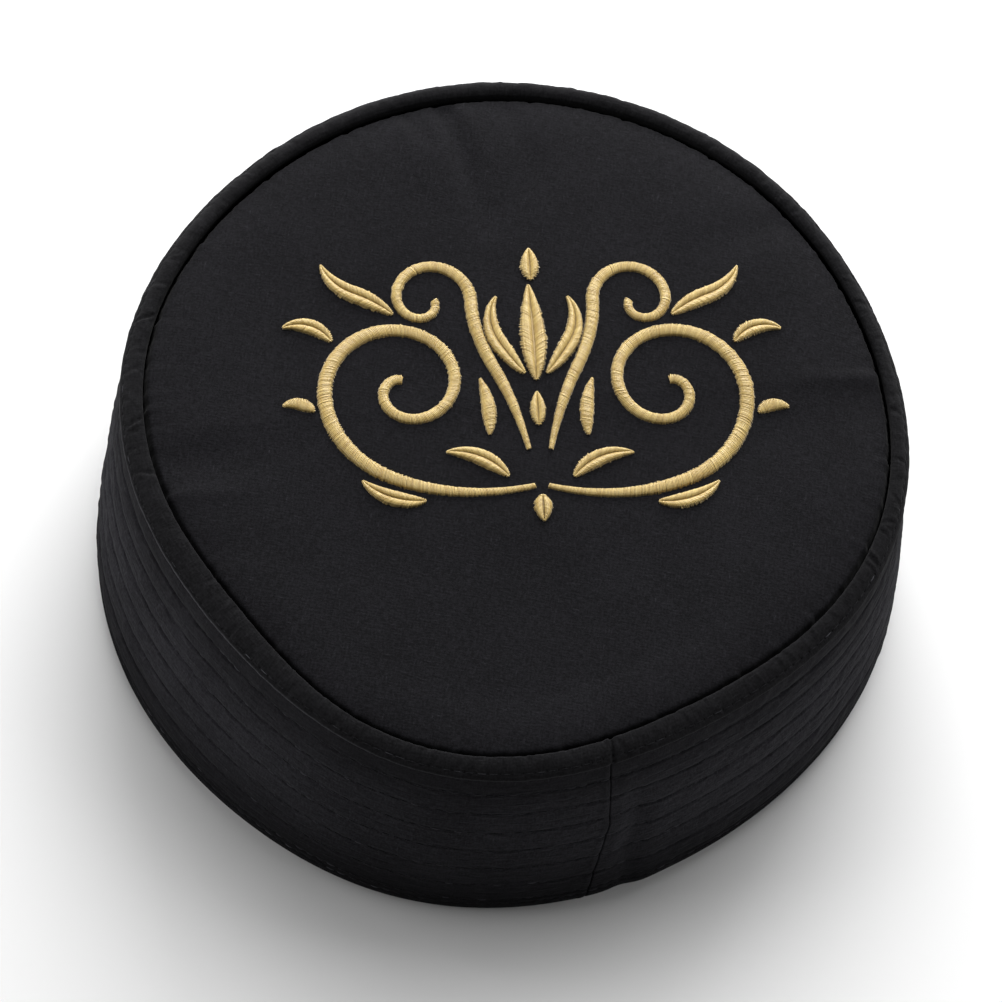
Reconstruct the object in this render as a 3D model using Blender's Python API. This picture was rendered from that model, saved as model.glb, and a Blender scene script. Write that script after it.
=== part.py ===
"""A round, flat-topped kufi of black cotton: a stiff side band with rows of stitching, a folded
strip round its top edge, a slightly domed crown and a gold embroidered scroll ornament.
Metres, +Z up. The cap stands on its hem at height 0, and the side with the band's seam faces -Y."""

import math
from collections import namedtuple

import bmesh
import bpy

# Main sizes
BASE_RADIUS = 0.0970
RIM_RADIUS = 0.09025
RIM_HEIGHT = 0.0683
CLOTH_GAP = 0.0003
COLUMNS = 70
MIDDLE_X = -0.0016
MIDDLE_Y = 0.0006

# The outline is a circle with a few shallow lobes. Each row gives how many lobes go round,
# and how far they stand out along the X axis and along the Y axis.
Lobe = namedtuple("Lobe", "count along_x along_y")
RIM_LOBES = (
    Lobe(2, 0.0002, 0.0002),
    Lobe(3, 0.0001, 0.0008),
    Lobe(4, 0.0014, -0.0002),
    Lobe(5, -0.0001, -0.0006),
)
BASE_LOBES = (
    Lobe(3, 0.0015, 0.0003),
    Lobe(4, 0.0001, 0.0007),
    Lobe(5, 0.0002, -0.0004),
)

# Side band
BAND_TOP = 0.0669
BAND_THICKNESS = 0.0026
BAND_TOP_INSET = 0.0008
BAND_BULGE = 0.0008
HEM_BEVEL = 0.0006
FIRST_ROW = 0.0075
ROW_SPACING = 0.00865
ROW_COUNT = 7
ROW_DEPTH = 0.0005
RINGS_PER_ROW = 3
SEAM_ANGLE = -66.5
SEAM_HALF_WIDTH = 0.5
SEAM_DEPTH = 0.0006
DENT_ANGLE = -61.0
DENT_SPREAD = 3.5
DENT_DEPTH = 0.0008

# Rim strip: its section, each point given from the rim radius outwards and from the floor up
StripPoint = namedtuple("StripPoint", "outward height")
STRIP_SECTION = (
    StripPoint(0.0000, 0.0673),
    StripPoint(0.0002, 0.0682),
    StripPoint(-0.0005, 0.0693),
    StripPoint(-0.0015, 0.0703),
    StripPoint(-0.0028, 0.0709),
    StripPoint(-0.0040, 0.0709),
    StripPoint(-0.0049, 0.0704),
    StripPoint(-0.0049, 0.0687),
    StripPoint(-0.0032, 0.0680),
    StripPoint(-0.0030, 0.0673),
)
STRIP_LAST_OUTSIDE = 5
Pucker = namedtuple("Pucker", "angle depth")
PUCKERS = (
    Pucker(-14.0, 0.0003),
    Pucker(-8.0, 0.0005),
    Pucker(4.0, 0.0003),
    Pucker(160.0, 0.0003),
    Pucker(177.0, 0.0004),
    Pucker(-165.0, 0.0003),
)
PUCKER_SPREAD = 2.5

# Crown
CROWN_EDGE_INSET = 0.0052
CROWN_EDGE_HEIGHT = 0.0703
CROWN_SHOULDER = 0.0012
CROWN_DOME = 0.0015
CROWN_THICKNESS = 0.0018
UPPER_RING_SHARES = (0.16, 0.33, 0.49, 0.63, 0.75, 0.85, 0.93, 0.97, 1.0)
LOWER_RING_SHARES = (0.33, 0.66, 0.88, 1.0)
Fold = namedtuple("Fold", "angle reach height spread")
FOLDS = (
    Fold(108.0, 0.62, 0.0005, 3.0),
    Fold(103.5, 0.55, -0.0006, 3.0),
    Fold(99.0, 0.62, 0.0005, 3.0),
    Fold(55.0, 0.66, -0.0004, 3.5),
    Fold(18.0, 0.70, -0.0004, 4.0),
    Fold(-154.0, 0.70, -0.0005, 4.5),
    Fold(-163.0, 0.66, 0.0004, 4.0),
)

# Ornament: flat raised shapes drawn as lines that turn left or right along circular bends.
# Places and lengths are in millimetres from the ornament's own middle, turns in degrees.
ORNAMENT_X = 0.0026
ORNAMENT_Y = 0.0067
ORNAMENT_TURN = 12.5
ORNAMENT_SCALE = 0.00094
ORNAMENT_THICKNESS = 0.0008
BEND_STEP_TURN = 14.0
BEND_STEP_LENGTH = 3.2
Bend = namedtuple("Bend", "turn first_radius last_radius")
Shape = namedtuple("Shape", "name x y heading bends width kind")
PAIRED_SHAPES = (
    Shape("lower_scroll", 1.7, -28.5, -14, (Bend(38, 62, 46), Bend(68, 30, 21), Bend(112, 19, 16),
                                            Bend(150, 14.5, 10), Bend(200, 8.8, 3.2)), 3.6, "stem"),
    Shape("upper_scroll", 2.7, -18.5, 78, (Bend(-14, 120, 80), Bend(26, 60, 30),
                                           Bend(-175, 10.2, 8.4), Bend(-215, 7.4, 2.7)), 3.1, "stem"),
    Shape("rising_leaf", 34.8, 19.2, 40, (Bend(-18, 40, 30), Bend(50, 16, 12)), 4.4, "leaf"),
    Shape("side_leaf", 50.2, 11.6, 58, (Bend(-84, 11, 8),), 3.8, "leaf"),
    Shape("tip_leaf", 55.0, -8.0, 52, (Bend(-84, 6.4, 5.4),), 3.0, "leaf"),
    Shape("foot_leaf", 28.5, -32.5, -6, (Bend(54, 20, 16),), 3.8, "leaf"),
    Shape("root_leaf", 8.0, -26.0, 52, (Bend(-58, 19, 15),), 4.0, "leaf"),
    Shape("stem_leaf", 12.2, -14.5, 96, (Bend(-26, 40, 30),), 3.2, "leaf"),
    Shape("side_petal", 2.7, 2.4, 50, (Bend(10, 60, 60), Bend(62, 15, 11)), 4.2, "leaf"),
)
SINGLE_SHAPES = (
    Shape("centre_petal", 0.0, 0.5, 90, (Bend(3, 518, 518),), 6.2, "leaf"),
    Shape("crest_bud", 0.0, 29.0, 90, (Bend(1, 520, 520),), 4.4, "leaf"),
    Shape("throat_bud", 0.0, -12.0, 90, (Bend(1, 520, 520),), 3.6, "leaf"),
    Shape("root_bud", 0.0, -31.0, -90, (Bend(1, 400, 400),), 4.2, "leaf"),
)
LEAF_SECTIONS = 9
STEM_START_SHARE = 0.34
LEAF_TIP_WIDTH = 0.3


def clear_scene():
    for old in list(bpy.data.objects):
        bpy.data.objects.remove(old, do_unlink=True)


def cloth_material(name, colour, roughness, sheen):
    material = bpy.data.materials.new(name)
    material.use_nodes = True
    shader = material.node_tree.nodes["Principled BSDF"]
    shader.inputs["Base Color"].default_value = (*colour, 1.0)
    shader.inputs["Roughness"].default_value = roughness
    shader.inputs["Metallic"].default_value = 0.0
    shader.inputs["Sheen Weight"].default_value = sheen
    return material


def make_object(name, points, faces, material):
    mesh = bpy.data.meshes.new(name)
    mesh.from_pydata(points, [], faces)
    shape = bmesh.new()
    shape.from_mesh(mesh)
    bmesh.ops.recalc_face_normals(shape, faces=shape.faces)
    shape.to_mesh(mesh)
    shape.free()
    mesh.materials.append(material)
    piece = bpy.data.objects.new(name, mesh)
    bpy.context.scene.collection.objects.link(piece)
    return piece


def smooth_sides(piece, sharp_angle=35.0):
    piece.data.shade_smooth()
    piece.data.set_sharp_from_angle(angle=math.radians(sharp_angle))


def bell(distance, spread):
    """1 at no distance, falling smoothly to 0."""
    return math.exp(-((distance / spread) ** 2))


def degrees_between(first, second):
    return (first - second + 180.0) % 360.0 - 180.0


def lobed(lobes, angle):
    return sum(
        lobe.along_x * math.cos(lobe.count * angle) + lobe.along_y * math.sin(lobe.count * angle)
        for lobe in lobes
    )


def rim_radius(angle):
    return RIM_RADIUS + lobed(RIM_LOBES, angle)


def wall_radius(angle, height):
    """The band's outer radius before its rows of stitching."""
    share = height / RIM_HEIGHT
    base = BASE_RADIUS + lobed(BASE_LOBES, angle)
    top = rim_radius(angle) - BAND_TOP_INSET
    return base + (top - base) * share + BAND_BULGE * 4.0 * share * (1.0 - share)


def place(radius, angle, height):
    return (MIDDLE_X + radius * math.cos(angle), MIDDLE_Y + radius * math.sin(angle), height)


def column_angles():
    """Even steps round the cap from the band's seam, and a close pair either side of that seam."""
    seam = math.radians(SEAM_ANGLE)
    close = math.radians(SEAM_HALF_WIDTH)
    step = math.tau / COLUMNS
    return [seam - close, seam, seam + close] + [seam + step * i for i in range(1, COLUMNS)]


def ring_solid(name, section_at, material):
    """A closed ring: the section's outline, carried round the cap."""
    points = []
    angles = column_angles()
    for angle in angles:
        section = section_at(angle)
        points.extend(place(radius, angle, height) for radius, height in section)
    count = len(section)
    faces = []
    for column in range(len(angles)):
        here = column * count
        there = (column + 1) % len(angles) * count
        for i in range(count):
            j = (i + 1) % count
            faces.append((here + i, there + i, there + j, here + j))
    return make_object(name, points, faces, material)


def row_sink(height):
    """How far the band is drawn in at this height by the nearest row of stitching."""
    from_row = (height - FIRST_ROW) / ROW_SPACING
    return ROW_DEPTH * bell(from_row - round(from_row), 0.22)


def band_heights():
    """The outside's heights: the hem's edge, then a few rings for each stitched row."""
    heights = [HEM_BEVEL, FIRST_ROW * 0.6]
    for row in range(ROW_COUNT):
        for ring in range(RINGS_PER_ROW):
            height = FIRST_ROW + ROW_SPACING * (row + ring / RINGS_PER_ROW)
            if height < BAND_TOP - HEM_BEVEL:
                heights.append(height)
    return heights


def band_section(angle):
    turned = math.degrees(angle)
    dent = DENT_DEPTH * bell(degrees_between(turned, DENT_ANGLE), DENT_SPREAD)
    seam = SEAM_DEPTH * bell(degrees_between(turned, SEAM_ANGLE), SEAM_HALF_WIDTH * 0.6)
    sink = dent + seam
    bottom = wall_radius(angle, 0.0) - sink
    top = wall_radius(angle, BAND_TOP) - sink
    section = [(bottom - HEM_BEVEL, 0.0)]
    for height in band_heights():
        section.append((wall_radius(angle, height) - sink - row_sink(height), height))
    section.append((top - HEM_BEVEL, BAND_TOP))
    section.append((top - BAND_THICKNESS, BAND_TOP))
    middle = BAND_TOP / 2
    section.append((wall_radius(angle, middle) - dent - BAND_THICKNESS - ROW_DEPTH, middle))
    section.append((bottom - BAND_THICKNESS, 0.0))
    return section


def strip_section(angle):
    turned = math.degrees(angle)
    pucker = sum(
        row.depth * bell(degrees_between(turned, row.angle), PUCKER_SPREAD) for row in PUCKERS
    )
    seam = SEAM_DEPTH * bell(degrees_between(turned, SEAM_ANGLE), SEAM_HALF_WIDTH * 0.6)
    rim = rim_radius(angle)
    section = []
    for i, point in enumerate(STRIP_SECTION):
        sink = pucker + seam if i <= STRIP_LAST_OUTSIDE else 0.0
        down = sink if point.outward < -0.001 else 0.0
        section.append((rim + point.outward - (sink - down), point.height - down))
    return section


def crown_top(x, y):
    """Height of the crown's upper face at a place measured from the cap's middle."""
    angle = math.atan2(y, x)
    share = math.hypot(x, y) / (rim_radius(angle) - CROWN_EDGE_INSET)
    height = CROWN_EDGE_HEIGHT + CROWN_SHOULDER * (1 - share**8) + CROWN_DOME * (1 - share**2)
    for fold in FOLDS:
        along = max(0.0, (share - fold.reach) / (1.0 - fold.reach))
        fade = math.sin(math.pi * min(1.0, along)) ** 0.7 if along > 0.0 else 0.0
        height += fold.height * fade * bell(degrees_between(math.degrees(angle), fold.angle), fold.spread)
    return height


def make_crown(material):
    """A thin domed disc: a middle point and rings above, the same with fewer rings below."""
    angles = column_angles()
    count = len(angles)
    points = []
    faces = []
    edges = []
    for shares, drop in ((UPPER_RING_SHARES, 0.0), (LOWER_RING_SHARES, CROWN_THICKNESS)):
        middle = len(points)
        points.append(place(0.0, 0.0, crown_top(0.0, 0.0) - drop))
        for share in shares:
            for angle in angles:
                radius = share * (rim_radius(angle) - CROWN_EDGE_INSET)
                top = crown_top(radius * math.cos(angle), radius * math.sin(angle))
                points.append(place(radius, angle, top - drop))
        for i in range(count):
            j = (i + 1) % count
            faces.append((middle, middle + 1 + i, middle + 1 + j))
            for ring in range(len(shares) - 1):
                inner = middle + 1 + ring * count
                outer = inner + count
                faces.append((inner + i, outer + i, outer + j, inner + j))
        edges.append(middle + 1 + (len(shares) - 1) * count)
    for i in range(count):
        j = (i + 1) % count
        faces.append((edges[0] + i, edges[1] + i, edges[1] + j, edges[0] + j))
    return make_object("crown", points, faces, material)


def bend_line(shape):
    """Points along a shape's middle line, each as x, y and heading."""
    x, y, heading = shape.x, shape.y, math.radians(shape.heading)
    line = [(x, y, heading)]
    for bend in shape.bends:
        turn = math.radians(bend.turn)
        length = abs(turn) * (bend.first_radius + bend.last_radius) / 2
        steps = max(2, math.ceil(abs(bend.turn) / BEND_STEP_TURN), math.ceil(length / BEND_STEP_LENGTH))
        if shape.kind == "leaf" and len(shape.bends) == 1:
            steps = max(steps, LEAF_SECTIONS)
        for i in range(steps):
            radius = bend.first_radius * (bend.last_radius / bend.first_radius) ** ((i + 0.5) / steps)
            heading += turn / steps / 2
            x += radius * abs(turn) / steps * math.cos(heading)
            y += radius * abs(turn) / steps * math.sin(heading)
            heading += turn / steps / 2
            line.append((x, y, heading))
    return line


def half_width(shape, share):
    """Half of a shape's width at a share of its length: a leaf swells, a stem tapers at its root."""
    if shape.kind == "leaf":
        return (shape.width * max(0.0, math.sin(math.pi * share**0.85)) ** 0.8 + LEAF_TIP_WIDTH) / 2
    rise = min(1.0, share / 0.35)
    fall = max(0.0, (share - 0.5) / 0.5)
    swell = STEM_START_SHARE + (1.0 - STEM_START_SHARE) * math.sin(math.pi / 2 * rise)
    return shape.width * swell * (1.0 - 0.34 * fall) / 2


def on_crown(x, y):
    """A place on the crown, from the cap's middle, for a place given in the ornament's own frame."""
    turn = math.radians(ORNAMENT_TURN)
    across = ORNAMENT_SCALE * x
    along = ORNAMENT_SCALE * y
    return (
        ORNAMENT_X + across * math.cos(turn) - along * math.sin(turn),
        ORNAMENT_Y + across * math.sin(turn) + along * math.cos(turn),
    )


# A raised shape's section: share of the half width, share of the thickness
RaisedPoint = namedtuple("RaisedPoint", "side rise")
RAISED_SECTION = (
    RaisedPoint(-1.0, 0.0),
    RaisedPoint(-0.92, 0.55),
    RaisedPoint(-0.5, 1.0),
    RaisedPoint(0.5, 1.0),
    RaisedPoint(0.92, 0.55),
    RaisedPoint(1.0, 0.0),
)


def make_raised_shape(name, shape, mirror, material):
    line = bend_line(shape)
    count = len(RAISED_SECTION)
    points = []
    for i, (x, y, heading) in enumerate(line):
        half = half_width(shape, i / (len(line) - 1))
        for corner in RAISED_SECTION:
            across = x - math.sin(heading) * corner.side * half
            along = y + math.cos(heading) * corner.side * half
            px, py = on_crown(mirror * across, along)
            height = crown_top(px, py) + CLOTH_GAP + corner.rise * ORNAMENT_THICKNESS
            points.append((MIDDLE_X + px, MIDDLE_Y + py, height))
    faces = [tuple(range(count)), tuple(range(len(points) - count, len(points)))]
    for section in range(len(line) - 1):
        here = section * count
        there = here + count
        for i in range(count):
            j = (i + 1) % count
            faces.append((here + i, there + i, there + j, here + j))
    return make_object(name, points, faces, material)


def make_ornament(material):
    pieces = []
    for shape in PAIRED_SHAPES:
        pieces.append(make_raised_shape(shape.name + "_right", shape, 1.0, material))
        pieces.append(make_raised_shape(shape.name + "_left", shape, -1.0, material))
    for shape in SINGLE_SHAPES:
        pieces.append(make_raised_shape(shape.name, shape, 1.0, material))
    return pieces


def main():
    clear_scene()
    band_cloth = cloth_material("band_cotton", (0.018, 0.018, 0.021), 0.85, 0.3)
    strip_cloth = cloth_material("strip_cotton", (0.012, 0.012, 0.014), 0.85, 0.3)
    crown_cloth = cloth_material("crown_cotton", (0.017, 0.017, 0.020), 0.9, 0.3)
    gold_thread = cloth_material("gold_thread", (0.62, 0.42, 0.14), 0.45, 0.0)
    pieces = [
        ring_solid("side_band", band_section, band_cloth),
        ring_solid("rim_strip", strip_section, strip_cloth),
        make_crown(crown_cloth),
    ]
    pieces += make_ornament(gold_thread)
    for piece in pieces:
        smooth_sides(piece)


main()
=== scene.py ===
import math
from collections import namedtuple

import bpy
import numpy as np
from mathutils import Matrix, Vector


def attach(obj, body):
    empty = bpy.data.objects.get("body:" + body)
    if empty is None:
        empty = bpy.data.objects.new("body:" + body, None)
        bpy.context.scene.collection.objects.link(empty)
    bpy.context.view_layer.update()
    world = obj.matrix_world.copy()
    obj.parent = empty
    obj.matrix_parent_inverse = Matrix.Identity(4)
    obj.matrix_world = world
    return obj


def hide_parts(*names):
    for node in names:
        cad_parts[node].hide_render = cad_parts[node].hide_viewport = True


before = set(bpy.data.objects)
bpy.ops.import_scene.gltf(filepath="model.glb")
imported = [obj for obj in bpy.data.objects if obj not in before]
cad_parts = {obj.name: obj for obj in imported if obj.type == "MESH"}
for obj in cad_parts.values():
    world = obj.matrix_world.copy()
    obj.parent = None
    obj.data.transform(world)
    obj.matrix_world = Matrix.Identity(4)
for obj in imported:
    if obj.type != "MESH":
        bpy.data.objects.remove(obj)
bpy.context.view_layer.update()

# The camera stands in front of the cap and well above it, leaning a little to one side,
# so that the crown shows as a wide oval and the front of the band below it.
MM = 0.001
VIEW_DOWN = math.radians(62.6)
VIEW_LEAN = math.radians(11.0)
VIEW_DISTANCE = 1045 * MM
VIEW_AIM = Vector((-1.8 * MM, -22.6 * MM, 68.3 * MM))
LENS_MM = 163.5
SENSOR_MM = 36.0

ahead = Vector((0.0, math.cos(VIEW_DOWN), -math.sin(VIEW_DOWN)))
level_right = Vector((1.0, 0.0, 0.0))
level_up = level_right.cross(ahead)
lean_right = level_right * math.cos(VIEW_LEAN) + level_up * math.sin(VIEW_LEAN)
lean_up = level_up * math.cos(VIEW_LEAN) - level_right * math.sin(VIEW_LEAN)
camera_data = bpy.data.cameras.new("camera")
camera_data.lens = LENS_MM
camera_data.sensor_width = SENSOR_MM
camera = bpy.data.objects.new("camera", camera_data)
camera.matrix_world = Matrix.Translation(VIEW_AIM - ahead * VIEW_DISTANCE) @ Matrix(
    (lean_right, lean_up, -ahead)
).transposed().to_4x4()
bpy.context.scene.collection.objects.link(camera)
bpy.context.scene.camera = camera

# The side band is two layers of black cotton over a stiffening cloth, quilted together by
# level rows of machine stitching. Its ends meet in one upright seam, and its lower edge is
# turned in and held by a double row of stitches.
BASE_RADIUS = 97.0
RIM_RADIUS = 90.25
RIM_HEIGHT = 68.3
MIDDLE_X = -1.6
MIDDLE_Y = 0.6
BAND_TOP = 66.9
BAND_THICKNESS = 2.6
BAND_TOP_INSET = 0.8
BAND_BULGE = 0.8
HEM_ROWS = (6.3, 8.4)
QUILT_ROWS = (16.2, 24.8, 33.5, 42.1, 50.8, 59.4)
ROW_DEPTH = 0.30
ROW_SPREAD = 0.36
ROW_SLACK = 0.45
ROW_LIP = 0.07
ROW_LIP_AT = 0.8
ROW_LIP_SPREAD = 0.45
ROW_TIGHTNESS = 0.8
QUILT_PUFF = 0.38
QUILT_PUFF_FLATNESS = 0.75
QUILT_TOP_SLACK = 1.5
HEM_ROLL = 1.9
HEM_ROLL_HEIGHT = 6.0
SEAM_DEPTH = 0.40
SEAM_WIDTH = 0.18
SEAM_LIP = 0.12
SEAM_LIP_AT = 1.1
SEAM_LIP_WIDTH = 0.7
SEAM_FOLLOW = 0.12
STRAIGHT_SEAM = math.radians(-66.5)
INNER_HEM_HEIGHT = 10.0
INNER_HEM_STEP = 0.5
INNER_HEM_SOFTNESS = 0.18
EDGE_ROUNDING = 0.5
INNER_EDGE_ROUNDING = 0.3
STITCHES_IN_ROW = 218
BAND_COLUMNS = 740
SEAM_COLUMNS = 64
SEAM_REACH = 6.0
# Heights of the mesh's rings on the rolled hem and inside, and their places at a row and between rows
HEM_RINGS = (0.0, 0.3, 1.0, 2.0, 3.2, 4.4)
ROW_RINGS = (-1.25, -0.8, -0.5, -0.24, 0.0, 0.24, 0.5, 0.8, 1.25)
QUILT_RINGS = (0.27, 0.42, 0.58, 0.73)
INNER_RINGS = (66.9, 66.4, 55.0, 40.0, 25.0, 12.0, 10.4, 9.6, 5.0, 0.6, 0.0)
# Given for cloth with no stitches in it, as its distance from the nearest row
UNSTITCHED = 9.0
Lobe = namedtuple("Lobe", "count along_x along_y")
RIM_LOBES = (
    Lobe(2, 0.2, 0.2),
    Lobe(3, 0.1, 0.8),
    Lobe(4, 1.4, -0.2),
    Lobe(5, -0.1, -0.6),
)
BASE_LOBES = (
    Lobe(1, -0.4, -0.1),
    Lobe(3, 1.5, 0.3),
    Lobe(4, 0.1, 0.7),
    Lobe(5, 0.2, -0.4),
)
SeamPoint = namedtuple("SeamPoint", "height angle")
UPRIGHT_SEAM = (
    SeamPoint(0.0, -67.2),
    SeamPoint(7.5, -67.1),
    SeamPoint(16.7, -66.8),
    SeamPoint(27.0, -66.2),
    SeamPoint(38.6, -65.6),
    SeamPoint(54.7, -66.2),
    SeamPoint(66.6, -66.8),
    SeamPoint(72.0, -66.1),
)
# Places where the rim stands out or in: how far, and over how many radians
Swell = namedtuple("Swell", "angle out spread")
RIM_SWELLS = (
    Swell(213.0, 1.15, 0.42),
    Swell(20.0, -0.65, 0.60),
)
# Where the rows draw the cloth in more firmly than elsewhere, or less, as at the front
ROW_PULLS = (
    Swell(203.0, 0.70, 0.5),
    Swell(-25.0, 0.50, 0.4),
    Swell(-94.0, -0.84, 0.44),
)
# Ripples are seeded waves round the cap, in millimetres, and climb lets them drift with height
Ripple = namedtuple("Ripple", "seed counts reach climb")
ROW_UNEVENNESS = Ripple(60, range(9, 120, 9), 0.42, 0.08)
QUILT_DIMPLES = Ripple(3, range(22, 70, 3), 0.14, 0.6)
QUILT_RUMPLES = Ripple(4, range(80, 180, 11), 0.10, 1.6)
BAND_SWAY = Ripple(5, range(3, 12), 0.30, 0.03)
ROW_WANDER = Ripple(8, range(2, 14, 2), 0.22, 0.05)
ROW_JITTER = Ripple(9, range(25, 90, 9), 0.08, 0.3)
LINING_SWAY = Ripple(11, range(3, 20, 2), 0.20, 0.06)
WANDER_START = 10.0
WANDER_END = 5.0
# Upright creases in the band: how far each stands out, and how wide it is, in millimetres
CREASE_FADE_ABOVE = 14.0
CREASE_FADE_BELOW = 8.0
Crease = namedtuple("Crease", "angle out width low high")
BAND_CREASES = (
    Crease(-64.3, 0.16, 2.2, 14.0, 60.0),
    Crease(-61.8, -0.50, 3.0, 0.0, 58.0),
    Crease(-58.0, 0.22, 4.0, 0.0, 50.0),
    Crease(-128.0, -0.30, 6.0, 40.0, 66.0),
    Crease(-98.0, -0.22, 7.0, 20.0, 64.0),
    Crease(-20.0, -0.30, 6.0, 10.0, 60.0),
    Crease(150.0, -0.30, 7.0, 10.0, 60.0),
    Crease(70.0, 0.30, 8.0, 10.0, 60.0),
)


def lobed(lobes, angle):
    return sum(
        lobe.along_x * np.cos(lobe.count * angle) + lobe.along_y * np.sin(lobe.count * angle)
        for lobe in lobes
    )


def rim_radius(angle):
    return RIM_RADIUS + lobed(RIM_LOBES, angle)


def bell(distance, spread):
    return np.exp(-((distance / spread) ** 2))


def angle_from(angle, degrees):
    """Signed turn from a place given in degrees, between minus half a turn and half a turn."""
    return (angle - math.radians(degrees) + math.pi) % math.tau - math.pi


def swelling(swells, angle):
    return sum(swell.out * bell(angle_from(angle, swell.angle), swell.spread) for swell in swells)


def row_pull(angle):
    """How firmly the rows draw the cloth in: least at the front, where the band lies flattest."""
    return 1.0 + swelling(ROW_PULLS, angle)


def waves(ripple, angle, height=0.0):
    draw = np.random.RandomState(ripple.seed)
    total = 0.0
    for count in ripple.counts:
        size = draw.uniform(0.5, 1.0) * (ripple.counts[0] / count) ** 0.5
        start = draw.uniform(0.0, math.tau)
        drift = draw.uniform(-ripple.climb, ripple.climb)
        total = total + size * np.sin(count * angle + start + drift * height)
    return ripple.reach * total / len(ripple.counts) ** 0.5


def seam_angle(height):
    heights = [point.height for point in UPRIGHT_SEAM]
    return np.radians(np.interp(height, heights, [point.angle for point in UPRIGHT_SEAM]))


def seam_distance(angle, height):
    """Millimetres along the cloth from the upright seam."""
    turn = (angle - seam_angle(height) + math.pi) % math.tau - math.pi
    return turn * RIM_RADIUS


def band_wall(angle, height):
    """Radius of the band's plain outer face, before it is stitched."""
    share = height / RIM_HEIGHT
    base = BASE_RADIUS + lobed(BASE_LOBES, angle)
    top = rim_radius(angle) - BAND_TOP_INSET + swelling(RIM_SWELLS, angle)
    return base + (top - base) * share + BAND_BULGE * 4.0 * share * (1.0 - share)


def band_surface(angle, height):
    """Radius and height, in millimetres, of the band's outer face."""
    radius = band_wall(angle, height)
    from_seam = seam_distance(angle, height)
    pull = row_pull(angle)
    slack = ROW_SLACK * np.clip(pull - 1.0, 0.0, 1.0)
    for i, row in enumerate(HEM_ROWS + QUILT_ROWS):
        unevenness = ROW_UNEVENNESS._replace(seed=ROW_UNEVENNESS.seed + i)
        tight = pull * (ROW_TIGHTNESS + waves(unevenness, angle))
        away = height - row
        lips = bell(away - ROW_LIP_AT, ROW_LIP_SPREAD) + bell(away + ROW_LIP_AT, ROW_LIP_SPREAD)
        radius = radius + tight * (ROW_LIP * lips - ROW_DEPTH * bell(away, ROW_SPREAD + slack))
    lines = np.array((HEM_ROWS[1],) + QUILT_ROWS + (BAND_TOP + QUILT_TOP_SLACK,))
    between = np.abs(np.sin(math.pi * np.interp(height, lines, np.arange(len(lines)))))
    uneven = waves(QUILT_DIMPLES, angle, height) + waves(QUILT_RUMPLES, angle, height)
    roll = HEM_ROLL * np.clip(1.0 - height / HEM_ROLL_HEIGHT, 0.0, 1.0) ** 2
    radius = radius + QUILT_PUFF * pull * between**QUILT_PUFF_FLATNESS + uneven * pull * between - roll
    radius = radius + waves(BAND_SWAY, angle, height)
    for crease in BAND_CREASES:
        across = angle_from(angle, crease.angle) * RIM_RADIUS
        fade = np.clip((crease.high - height) / CREASE_FADE_ABOVE, 0.0, 1.0)
        if crease.low > 0.0:
            fade = fade * np.clip((height - crease.low) / CREASE_FADE_BELOW, 0.0, 1.0)
        radius = radius + crease.out * fade * bell(across, crease.width)
    radius = radius - SEAM_DEPTH * bell(from_seam, SEAM_WIDTH)
    radius = radius + SEAM_LIP * bell(from_seam + SEAM_LIP_AT, SEAM_LIP_WIDTH)
    wander = waves(ROW_WANDER, angle, height) + pull * waves(ROW_JITTER, angle, height)
    wander = wander * np.clip(height / WANDER_START, 0.0, 1.0)
    return radius, height + wander * np.clip((BAND_TOP - height) / WANDER_END, 0.0, 1.0)


def band_inside(angle, height):
    """Radius of the band's inner face, with the turned hem standing in a little."""
    hem = INNER_HEM_STEP / (1.0 + np.exp((height - INNER_HEM_HEIGHT) / INNER_HEM_SOFTNESS))
    return band_wall(angle, height) - BAND_THICKNESS - hem + waves(LINING_SWAY, angle, height)


def world_points(angle, radius, height):
    return np.stack(
        [
            (MIDDLE_X + radius * np.cos(angle)) * MM,
            (MIDDLE_Y + radius * np.sin(angle)) * MM,
            height * MM,
        ],
        axis=-1,
    )


def link_mesh(name, points, faces, places=None, tones=None):
    """A smooth mesh object.

    places names each map of its face corners, on the flat cloth or on its stitching, and
    tones has one value for each point.
    """
    mesh = bpy.data.meshes.new(name)
    face_lists = [face for group in faces for face in group.tolist()]
    mesh.from_pydata(points.reshape(-1, 3).tolist(), [], face_lists)
    for title, values in (places or {}).items():
        layer = mesh.uv_layers.new(name=title)
        layer.uv.foreach_set("vector", values.astype(np.float32).ravel())
    if tones is not None:
        mesh.attributes.new("tone", "FLOAT", "POINT").data.foreach_set("value", tones.astype(np.float32))
    mesh.shade_smooth()
    piece = bpy.data.objects.new(name, mesh)
    bpy.context.scene.collection.objects.link(piece)
    return piece


def signed_volume(points, faces):
    flat = points.reshape(-1, 3)
    first, second, third, fourth = (flat[faces[:, i]] for i in range(4))
    one = np.einsum("ij,ij->i", first, np.cross(second, third)).sum()
    other = np.einsum("ij,ij->i", first, np.cross(third, fourth)).sum()
    return one + other


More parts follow.
